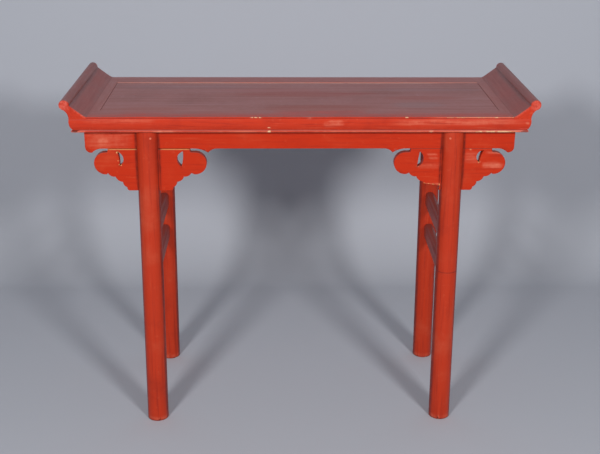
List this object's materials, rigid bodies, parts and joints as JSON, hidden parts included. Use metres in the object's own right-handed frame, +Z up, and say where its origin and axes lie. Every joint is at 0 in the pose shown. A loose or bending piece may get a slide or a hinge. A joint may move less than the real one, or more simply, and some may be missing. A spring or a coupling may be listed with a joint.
{
  "type": "altar table",
  "caption": "Long narrow table with round splayed legs, cusped aprons, cloud-shaped spandrels, paired side stretchers and a framed panel top with upturned rolled ends.",
  "frame": {"origin": "on the floor, under the middle of the top", "axes": "+X along the table to its right, +Y from its front to its back, +Z up"},
  "size_m": [1.158, 0.435, 0.8875],
  "materials": {
    "red_lacquer": "aged cinnabar-red lacquer, satin, rubbed and chipped on its edges",
    "top_lacquer": "aged red lacquer dulled to brown rose, satin, with fine rubbing streaks",
    "underside_wood": "thin dull red-brown wash over softwood, matte",
    "peg_wood": "lacquered over, matte end grain"
  },
  "bodies": {
    "root": {"front_apron": "red_lacquer", "front_left_inner_spandrel": "red_lacquer", "front_left_leg": "red_lacquer", "front_left_outer_spandrel": "red_lacquer", "front_long_rail": "red_lacquer", "front_panel_board": "top_lacquer", "front_right_inner_spandrel": "red_lacquer", "front_right_leg": "red_lacquer", "front_right_outer_spandrel": "red_lacquer", "left_batten": "underside_wood", "left_end_apron": "red_lacquer", "left_end_rail": "red_lacquer", "left_flange": "red_lacquer", "left_lower_stretcher": "red_lacquer", "left_upper_stretcher": "red_lacquer", "leg_pegs": "peg_wood", "middle_batten": "underside_wood", "rear_apron": "red_lacquer", "rear_left_inner_spandrel": "red_lacquer", "rear_left_leg": "red_lacquer", "rear_left_outer_spandrel": "red_lacquer", "rear_long_rail": "red_lacquer", "rear_panel_board": "top_lacquer", "rear_right_inner_spandrel": "red_lacquer", "rear_right_leg": "red_lacquer", "rear_right_outer_spandrel": "red_lacquer", "right_batten": "underside_wood", "right_end_apron": "red_lacquer", "right_end_rail": "red_lacquer", "right_flange": "red_lacquer", "right_lower_stretcher": "red_lacquer", "right_upper_stretcher": "red_lacquer"}
  },
  "joints": []
}
